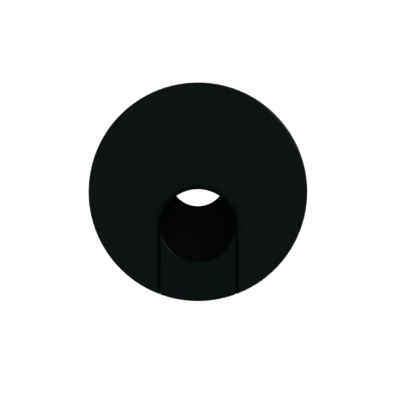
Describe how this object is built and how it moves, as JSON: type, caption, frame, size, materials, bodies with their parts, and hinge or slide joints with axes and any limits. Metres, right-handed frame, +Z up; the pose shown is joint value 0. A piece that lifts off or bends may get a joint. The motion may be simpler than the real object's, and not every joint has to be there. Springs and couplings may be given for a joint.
{
  "type": "desk grommet",
  "caption": "Round cable grommet for a desk hole: lift-off cap with a slot and a slide-out tab over a flanged liner with a sprung closing flap.",
  "frame": {"origin": "centre of the sleeve's lower end, which the grommet stands on when it is out of the desk", "axes": "+Z up through the cap's face, along the sleeve's axis; -Y along the slot, from the cable hole towards the rim; +X to the right seen from above with the slot towards the viewer. The desk's top surface lies at z = 0.028."},
  "size_m": [0.08, 0.08, 0.0335],
  "materials": {
    "cap_plastic": "fine satin grain, black",
    "liner_plastic": "moulded, matte black",
    "flap_plastic": "matte black",
    "pin_steel": "bright drawn steel",
    "spring_steel": "drawn spring wire",
    "screw_zinc": "zinc plated"
  },
  "bodies": {
    "liner_body": {"liner": "liner_plastic", "hinge_pin": "pin_steel", "liner_screw_left": "screw_zinc", "liner_screw_right": "screw_zinc"},
    "cap_body": {"cap": "cap_plastic"},
    "tab_body": {"slot_tab": "cap_plastic"},
    "flap_body": {"flap": "flap_plastic", "torsion_spring_left": "spring_steel", "torsion_spring_right": "spring_steel"}
  },
  "joints": [
    {"name": "cap_lift", "type": "slide", "parent": "liner_body", "child": "cap_body", "axis": [0, 0, 1], "range_m": [0, 0.04]},
    {"name": "tab_slide", "type": "slide", "parent": "cap_body", "child": "tab_body", "axis": [0, -1, 0], "range_m": [0, 0.026]},
    {"name": "flap_swing", "type": "hinge", "parent": "liner_body", "child": "flap_body", "pos_m": [0, -0.0226, 0.0234], "axis": [-1, 0, 0], "range_deg": [0, 65], "stiffness_Nm_per_rad": 0.02, "springref_deg": -40.11}
  ]
}
